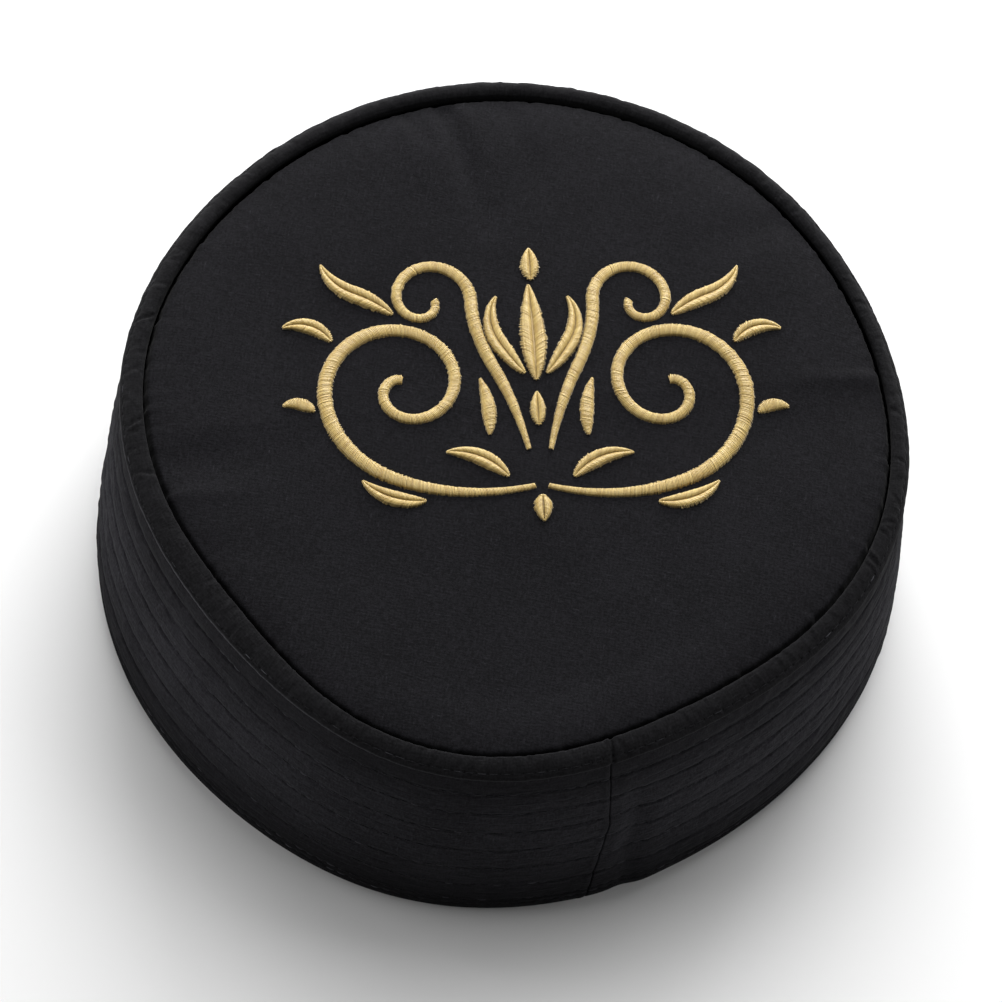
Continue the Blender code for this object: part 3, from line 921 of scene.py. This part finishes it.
# Creases: each runs from one place to another, in millimetres from the crown's middle
Wrinkle = namedtuple("Wrinkle", "from_x from_y to_x to_y height width")
WRINKLES = (
    Wrinkle(-32.5, 79, -13.5, 41, -1.00, 2.6),
    Wrinkle(-28, 79, -20, 64, 0.45, 1.8),
    Wrinkle(-40, 70, -26, 50, 0.35, 3.5),
    Wrinkle(-42, 74, -32, 64, -0.60, 1.8),
    Wrinkle(-16, 79, -1, 52, -0.45, 2.8),
    Wrinkle(58, 66, 27, 48, -0.50, 3.6),
    Wrinkle(46, 72, 24, 56, 0.25, 5.0),
    Wrinkle(84, 21, 38, -6, -0.70, 6.5),
    Wrinkle(84, 27.5, 57, 20, 0.60, 2.0),
    Wrinkle(84, -2, 44, -20, 0.40, 9.0),
    Wrinkle(-83, -42, -52, -33, 0.50, 2.0),
    Wrinkle(-76, -31, -43, -20, -0.55, 4.5),
    Wrinkle(-70, -52, -42, -46, -0.40, 3.5),
    Wrinkle(-84, 22, -62, 18, -0.14, 4.5),
    Wrinkle(10, -84, 6, -60, -0.12, 5.0),
)


def crown_edge(angle):
    """Radius of the crown's sewn edge, which the stitches draw in unevenly."""
    return rim_radius(angle) - CROWN_INSET + swelling(SEAM_SWELLS, angle) + waves(EDGE_GATHERS, angle)


def crown_height(x, y):
    """Height of the crown's upper face over a place given in millimetres from its middle."""
    angle = np.arctan2(y, x)
    distance = np.hypot(x, y)
    edge = crown_edge(angle)
    share = distance / edge
    from_edge = edge - distance
    height = CROWN_EDGE_HEIGHT + CROWN_DOME * (1.0 - share**2)
    height = height + CROWN_SHOULDER * (1.0 - np.exp(-from_edge / CROWN_SHOULDER_WIDTH))
    height = height - CROWN_ROLL * bell(from_edge, CROWN_ROLL_WIDTH)
    height = height + waves(CROWN_GATHERS, angle) * bell(from_edge - CROWN_GATHERS_AT, CROWN_GATHERS_WIDTH)
    for wrinkle in WRINKLES:
        run_x, run_y = wrinkle.to_x - wrinkle.from_x, wrinkle.to_y - wrinkle.from_y
        length = math.hypot(run_x, run_y)
        along = ((x - wrinkle.from_x) * run_x + (y - wrinkle.from_y) * run_y) / length**2
        across = ((x - wrinkle.from_x) * run_y - (y - wrinkle.from_y) * run_x) / length
        fade = np.clip(1.0 - along, 0.0, 1.0) ** 0.7 * np.clip(1.0 + along * 6.0, 0.0, 1.0)
        fade = fade * np.clip(from_edge / WRINKLE_FLAT_EDGE, 0.0, 1.0)
        height = height + wrinkle.height * fade * bell(across, wrinkle.width * (1.0 + 0.5 * along))
    soft = waves(CROWN_WAVES_ACROSS, x * CROWN_WAVE_TURNS, y)
    soft = soft + waves(CROWN_WAVES_ALONG, y * CROWN_WAVE_TURNS, x)
    before = (RIDGE_SLOPE * x - y + RIDGE_START) / math.hypot(RIDGE_SLOPE, 1.0)
    fall = RIDGE_FALL * (1.0 - np.exp(-np.clip(before, 0.0, None) / RIDGE_WIDTH))
    return height + (soft - fall) * np.clip(from_edge / CROWN_FLAT_EDGE, 0.0, 1.0)


def disc_piece(name, upper_steps, lower_steps):
    """A thin closed disc: rings of the upper face from the middle out, then of the lower one back in."""
    angle = np.arange(CROWN_COLUMNS) / CROWN_COLUMNS * math.tau
    edge = crown_edge(angle)
    rings = []
    for steps, drop in ((upper_steps, 0.0), (lower_steps[::-1], CROWN_THICKNESS)):
        for step in steps:
            radius = edge * step
            top = crown_height(radius * np.cos(angle), radius * np.sin(angle))
            rings.append(world_points(angle, radius, top - drop))
    middle_height = float(crown_height(np.array(0.0), np.array(1e-6)))
    middles = [world_points(0.0, 0.0, middle_height - drop) for drop in (0.0, CROWN_THICKNESS)]
    points = np.concatenate(rings + [np.array(middles)])
    count = CROWN_COLUMNS
    ring, column = np.meshgrid(np.arange(len(rings) - 1), np.arange(count), indexing="ij")
    after = (column + 1) % count
    inward, outward = ring * count, (ring + 1) * count
    quads = np.stack([inward + column, outward + column, outward + after, inward + after], axis=-1)
    column = np.arange(count)
    after = (column + 1) % count
    top_middle = len(rings) * count
    top_fan = np.stack([top_middle + 0 * column, column, after], axis=-1)
    last = (len(rings) - 1) * count
    low_fan = np.stack([top_middle + 1 + 0 * column, last + after, last + column], axis=-1)
    faces = [quads.reshape(-1, 4), top_fan, low_fan]
    corners = np.concatenate([group.ravel() for group in faces])
    unstitched = np.full((len(corners), 2), UNSTITCHED)
    return link_mesh(name, points, faces, {"cloth": points[corners][:, :2], "stitching": unstitched})


# Rings of the crown's mesh, in millimetres from its middle or from its edge
CROWN_RADIUS = RIM_RADIUS - CROWN_INSET
MIDDLE_RINGS = np.arange(1.5, 70.0, 1.5)
OUTER_RINGS = np.arange(70.0, 82.6, 0.9)
EDGE_RINGS = np.array([2.6, 2.0, 1.5, 1.15, 0.9, 0.72, 0.58, 0.45, 0.33, 0.2, 0.08, 0.0])
LOWER_RINGS = np.arange(6.0, 84.0, 6.0)
upper_steps = np.concatenate(
    [MIDDLE_RINGS / CROWN_RADIUS, OUTER_RINGS / CROWN_RADIUS, 1.0 - EDGE_RINGS / CROWN_RADIUS]
)
lower_steps = np.concatenate([LOWER_RINGS / CROWN_RADIUS, [1.0 - INNER_EDGE_ROUNDING / CROWN_RADIUS, 1.0]])
crown = disc_piece("stretched_crown", upper_steps, lower_steps)
CROWN_BLACK = (0.0064, 0.0062, 0.0074)
crown_cotton = cotton("crown_cotton", CROWN_BLACK, 0.03)
crown.data.materials.append(crown_cotton)
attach(crown, "root")
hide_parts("crown")

# The ornament is a spray of scrolls and leaves in gold thread, worked in satin stitch: each
# stem and leaf is filled with threads laid side by side across it over a layer of padding.
ORNAMENT_X = 2.6
ORNAMENT_Y = 6.7
ORNAMENT_TURN = 12.5
ORNAMENT_SCALE = 0.94
SATIN_PITCH = 0.33
SATIN_RADIUS = 0.185
SATIN_RISE = 0.80
SATIN_START = 0.12
SATIN_END = 0.1
SATIN_WAVER = 0.02
SATIN_REACH_WAVER = 0.05
SATIN_RISE_WAVER = 0.018
SATIN_SIDES = 4
STEM_POINTS = 8
LEAF_POINTS = 6
STEM_SLANT = 0.22
LEAF_SLANT = 0.75
# How high the fill stands for its half width, as a share of the full rise
RISE_LEAST = 0.45
RISE_MOST = 1.15
RISE_BY_WIDTH = 0.32
END_DIP = -0.15
STEM_CREST_FLATNESS = 2.4
STEM_CREST_ROUNDING = 0.6
LEAF_EDGE_CREST = 0.22
LEAF_CREST_LEAST = 0.30
LEAF_CREST_FROM = 0.07
LEAF_CREST_OVER = 0.86
LEAF_CREST_ROUNDING = 0.7
SPLIT_LEAF_WIDTH = 3.5
PADDING_SHARE = 0.55
PADDING_WIDTH = 0.86
PADDING_STEP = 0.8
# The padding's section: how far each point lies to the side, and how high
PADDING_SIDES = (-1.0, -0.75, 0.0, 0.75, 1.0, 0.0)
PADDING_CREST = (-0.2, 0.62, 1.0, 0.62, -0.2, -0.3)
GOLD_DARK = (0.262, 0.156, 0.031)
GOLD_PALE = (0.54, 0.405, 0.143)
GOLD_ROUGHNESS = 0.42
GOLD_GLOSS = 0.55
GOLD_SHEEN = 0.25
GOLD_SHEEN_ROUGHNESS = 0.4
GOLD_TONE_SHARE = 0.45
GOLD_FIBRE_SHARE = 0.5
GOLD_WORN_SHARE = 0.35
GOLD_DARKER = 0.12
Bend = namedtuple("Bend", "turn first_radius last_radius")
Shape = namedtuple("Shape", "name x y heading bends width kind")
PAIRED_SHAPES = (
    Shape("lower_scroll", 1.7, -28.5, -14, (Bend(38, 62, 46), Bend(68, 30, 21), Bend(112, 19, 16),
                                            Bend(150, 14.5, 10), Bend(200, 8.8, 3.2)), 3.6, "stem"),
    Shape("upper_scroll", 2.7, -18.5, 78, (Bend(-14, 120, 80), Bend(26, 60, 30),
                                           Bend(-175, 10.2, 8.4), Bend(-215, 7.4, 2.7)), 3.1, "stem"),
    Shape("rising_leaf", 34.8, 19.2, 40, (Bend(-18, 40, 30), Bend(50, 16, 12)), 4.4, "leaf"),
    Shape("side_leaf", 50.2, 11.6, 58, (Bend(-84, 11, 8),), 3.8, "leaf"),
    Shape("tip_leaf", 55.0, -8.0, 52, (Bend(-84, 6.4, 5.4),), 3.0, "leaf"),
    Shape("foot_leaf", 28.5, -32.5, -6, (Bend(54, 20, 16),), 3.8, "leaf"),
    Shape("root_leaf", 8.0, -26.0, 52, (Bend(-58, 19, 15),), 4.0, "leaf"),
    Shape("stem_leaf", 12.2, -14.5, 96, (Bend(-26, 40, 30),), 3.2, "leaf"),
    Shape("side_petal", 2.7, 2.4, 50, (Bend(10, 60, 60), Bend(62, 15, 11)), 4.2, "leaf"),
)
SINGLE_SHAPES = (
    Shape("centre_petal", 0.0, 0.5, 90, (Bend(3, 518, 518),), 6.2, "leaf"),
    Shape("crest_bud", 0.0, 29.0, 90, (Bend(1, 520, 520),), 4.4, "leaf"),
    Shape("throat_bud", 0.0, -12.0, 90, (Bend(1, 520, 520),), 3.6, "leaf"),
    Shape("root_bud", 0.0, -31.0, -90, (Bend(1, 400, 400),), 4.2, "leaf"),
)
STEM_START_SHARE = 0.34
STEM_RISE_SHARE = 0.35
STEM_FALL_FROM = 0.5
STEM_TAPER = 0.34
LEAF_TIP_WIDTH = 0.3
LEAF_LEAN = 0.85
LEAF_FULLNESS = 0.8
DRAWN_STEP = 0.05
DRAWN_LEAST_STEPS = 8


def drawn_line(shape):
    """Closely spaced places and headings along a shape's middle line, and the length to each."""
    x, y, heading = shape.x, shape.y, math.radians(shape.heading)
    line = [(x, y, heading, 0.0)]
    length = 0.0
    for bend in shape.bends:
        turn = math.radians(bend.turn)
        length_of_bend = abs(turn) * (bend.first_radius + bend.last_radius) / 2
        steps = max(DRAWN_LEAST_STEPS, int(length_of_bend / DRAWN_STEP))
        for i in range(steps):
            radius = bend.first_radius * (bend.last_radius / bend.first_radius) ** ((i + 0.5) / steps)
            step = radius * abs(turn) / steps
            heading += turn / steps / 2
            x += step * math.cos(heading)
            y += step * math.sin(heading)
            heading += turn / steps / 2
            length += step
            line.append((x, y, heading, length))
    return np.array(line)


def half_width(shape, share):
    """Half of a shape's width at a share of its length: a leaf swells, a stem tapers at its root."""
    share = np.clip(share, 0.0, 1.0)
    if shape.kind == "leaf":
        swell = np.maximum(0.0, np.sin(math.pi * share**LEAF_LEAN)) ** LEAF_FULLNESS
        return (shape.width * swell + LEAF_TIP_WIDTH) / 2
    rise = np.minimum(1.0, share / STEM_RISE_SHARE)
    fall = np.maximum(0.0, (share - STEM_FALL_FROM) / (1.0 - STEM_FALL_FROM))
    swell = STEM_START_SHARE + (1.0 - STEM_START_SHARE) * np.sin(math.pi / 2 * rise)
    return shape.width * swell * (1.0 - STEM_TAPER * fall) / 2


def beside_line(shape, mirror, line, distance, side):
    """Places beside a shape's middle line, side being a share of its half width."""
    length = line[-1, 3]
    distance = np.clip(distance, 0.0, length)
    x, y, heading = (np.interp(distance, line[:, 3], line[:, i]) for i in range(3))
    half = half_width(shape, distance / length) * side
    return mirror * (x - np.sin(heading) * half), y + np.cos(heading) * half


def fill_rise(half):
    return SATIN_RISE * np.clip(RISE_LEAST + RISE_BY_WIDTH * half, RISE_LEAST, RISE_MOST)


def on_crown(x, y, lift):
    """World places for places in the ornament's own frame, lifted off the crown."""
    turn = math.radians(ORNAMENT_TURN)
    across, along = ORNAMENT_SCALE * x, ORNAMENT_SCALE * y
    px = ORNAMENT_X + across * math.cos(turn) - along * math.sin(turn)
    py = ORNAMENT_Y + across * math.sin(turn) + along * math.cos(turn)
    height = crown_height(px, py) + lift
    return np.stack([(MIDDLE_X + px) * MM, (MIDDLE_Y + py) * MM, height * MM], axis=-1)


def satin_threads(shape, mirror, draw):
    """Places along each thread of a shape: an array for each half of a wide leaf, or one for the whole."""
    line = drawn_line(shape)
    length = line[-1, 3]
    stations = np.arange(SATIN_START, length - SATIN_END, SATIN_PITCH / ORNAMENT_SCALE)
    stations = stations + draw.normal(0.0, SATIN_WAVER, len(stations))
    half = half_width(shape, stations / length)
    split = shape.kind == "leaf" and shape.width > SPLIT_LEAF_WIDTH
    share = np.linspace(0.0, 1.0, LEAF_POINTS if split else STEM_POINTS)
    if split:
        swell = np.sin(math.pi * (share * LEAF_CREST_OVER + LEAF_CREST_FROM)) ** LEAF_CREST_ROUNDING
        crest = LEAF_CREST_LEAST + (1.0 - LEAF_CREST_LEAST) * swell
        crest[0], crest[-1] = LEAF_EDGE_CREST, END_DIP
    else:
        from_edge = np.maximum(0.0, 1.0 - np.abs(2.0 * share - 1.0) ** STEM_CREST_FLATNESS)
        crest = from_edge**STEM_CREST_ROUNDING
        crest[0] = crest[-1] = END_DIP
    threads = []
    for first, last in ((0.0, -1.0), (0.0, 1.0)) if split else ((-1.0, 1.0),):
        reach = draw.normal(1.0, SATIN_REACH_WAVER, len(stations))
        side = first + (last - first) * share[None, :] + 0.0 * stations[:, None]
        side = side * np.where(np.abs(side) > 0.9, reach[:, None], 1.0)
        slant = LEAF_SLANT * np.abs(side) if split else STEM_SLANT * side
        x, y = beside_line(shape, mirror, line, stations[:, None] + slant * half[:, None], side)
        waver = draw.normal(0.0, SATIN_RISE_WAVER, len(stations))
        threads.append(on_crown(x, y, fill_rise(half)[:, None] * crest[None, :] + waver[:, None]))
    return threads


def thread_tubes(bundles, draw):
    """Points, faces and a tone for each point, of many thin threads."""
    points, faces, tones = [], [], []
    first = 0
    for line in bundles:
        count, rings, _ = line.shape
        forward = np.gradient(line, axis=1)
        forward /= np.linalg.norm(forward, axis=2, keepdims=True) + 1e-12
        side = np.cross(forward, np.array([0.0, 0.0, 1.0]))
        side /= np.linalg.norm(side, axis=2, keepdims=True) + 1e-12
        thick = SATIN_RADIUS * MM * draw.uniform(0.9, 1.1, count)[:, None, None, None]
        rim = round_about(side, np.cross(side, forward), SATIN_SIDES, 0.5)
        points.append((line[:, :, None, :] + rim * thick).reshape(-1, 3))
        faces += rod_faces(count, rings, SATIN_SIDES, first)
        tones.append(np.repeat(draw.uniform(0.0, 1.0, count), rings * SATIN_SIDES))
        first += count * rings * SATIN_SIDES
    return np.concatenate(points), faces, np.concatenate(tones)


def padding(shape, mirror, first):
    """Points and faces of a low rounded ridge under the threads, so that no cloth shows between them."""
    line = drawn_line(shape)
    length = line[-1, 3]
    distance = np.linspace(0.0, length, max(12, int(length / PADDING_STEP)))
    side = PADDING_WIDTH * np.array(PADDING_SIDES)[None, :]
    across, along = beside_line(shape, mirror, line, distance[:, None], side)
    half = half_width(shape, distance / length) * PADDING_WIDTH
    rise = PADDING_SHARE * fill_rise(half)
    points = on_crown(across, along, rise[:, None] * np.array(PADDING_CREST)[None, :])
    return points.reshape(-1, 3), rod_faces(1, len(distance), len(PADDING_SIDES), first)


def gold_satin():
    """Shiny gold embroidery thread: each thread its own tone, with finer fibres along it."""
    material, shader, start = new_finish("gold_thread", GOLD_ROUGHNESS, GOLD_SHEEN, GOLD_SHEEN_ROUGHNESS)
    shader.inputs["Specular IOR Level"].default_value = GOLD_GLOSS
    tone = start.node("ShaderNodeAttribute", {"attribute_name": "tone"}, output=2)
    solid = start.node("ShaderNodeTexCoord", output=3)
    fibres = start.node("ShaderNodeTexNoise", Vector=solid, Scale=2600.0, Detail=3.0)
    paler = start.node("ShaderNodeTexNoise", Vector=solid, Scale=120.0, Detail=2.0)
    blend = tone * GOLD_TONE_SHARE + fibres * GOLD_FIBRE_SHARE + paler * GOLD_WORN_SHARE - GOLD_DARKER
    blend.mixed(GOLD_DARK, GOLD_PALE).feeds(shader, "Base Color")
    start.node("ShaderNodeBump", Strength=0.35, Distance=0.00005, Height=fibres).feeds(shader, "Normal")
    return material


gold_thread = gold_satin()
ORNAMENT_PARTS = [(shape, mirror, shape.name + suffix) for shape in PAIRED_SHAPES
                  for mirror, suffix in ((1.0, "_right"), (-1.0, "_left"))]
ORNAMENT_PARTS += [(shape, 1.0, shape.name) for shape in SINGLE_SHAPES]
for seed, (shape, mirror, node) in enumerate(ORNAMENT_PARTS):
    draw = np.random.RandomState(100 + seed)
    points, faces, tones = thread_tubes(satin_threads(shape, mirror, draw), draw)
    pad_points, pad_faces = padding(shape, mirror, len(points))
    tones = np.concatenate([tones, np.zeros(len(pad_points))])
    satin = link_mesh("satin_" + node, np.concatenate([points, pad_points]), faces + pad_faces, tones=tones)
    satin.data.materials.append(gold_thread)
    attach(satin, "root")
    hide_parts(node)

# The cap stands on a plain pale floor, under one broad soft light from above and behind
# and softer ones from either side, which leave the front of the band in soft shade.
FLOOR_HALF = 3.0
FLOOR_WHITE = (0.70, 0.70, 0.70, 1.0)
SKY_WHITE = (1.0, 1.0, 1.0, 1.0)
SKY_STRENGTH = 0.018
SoftLight = namedtuple("SoftLight", "name place aim width height watts")
SOFT_LIGHTS = (
    SoftLight("top_back_light", (0.0, 0.75, 1.45), (0.0, 0.0, 0.05), 1.5, 1.1, 32.0),
    SoftLight("low_back_light", (0.0, 1.7, 0.55), (0.0, 0.0, 0.05), 1.6, 0.9, 61.0),
    SoftLight("left_light", (-1.25, -0.05, 0.42), (0.0, -0.02, 0.04), 1.0, 0.7, 14.0),
    SoftLight("right_light", (1.25, 0.05, 0.40), (0.0, -0.02, 0.04), 1.0, 0.7, 8.0),
)
floor_corners = np.array([(-1.0, -1.0, 0.0), (1.0, -1.0, 0.0), (1.0, 1.0, 0.0), (-1.0, 1.0, 0.0)])
floor = link_mesh("floor", floor_corners * FLOOR_HALF, [np.array([[0, 1, 2, 3]])])
floor_finish, floor_shader, _ = new_finish("floor_paper", 0.9, 0.0)
floor_shader.inputs["Base Color"].default_value = FLOOR_WHITE
floor.data.materials.append(floor_finish)
for light in SOFT_LIGHTS:
    data = bpy.data.lights.new(light.name, "AREA")
    data.shape = "RECTANGLE"
    data.size = light.width
    data.size_y = light.height
    data.energy = light.watts
    lamp = bpy.data.objects.new(light.name, data)
    place = Vector(light.place)
    lamp.location = place
    lamp.rotation_euler = (Vector(light.aim) - place).to_track_quat("-Z", "Y").to_euler()
    bpy.context.scene.collection.objects.link(lamp)
world = bpy.data.worlds.new("studio")
world.use_nodes = True
world.node_tree.nodes["Background"].inputs[0].default_value = SKY_WHITE
world.node_tree.nodes["Background"].inputs[1].default_value = SKY_STRENGTH
bpy.context.scene.world = world
bpy.context.scene.view_settings.view_transform = "Standard"
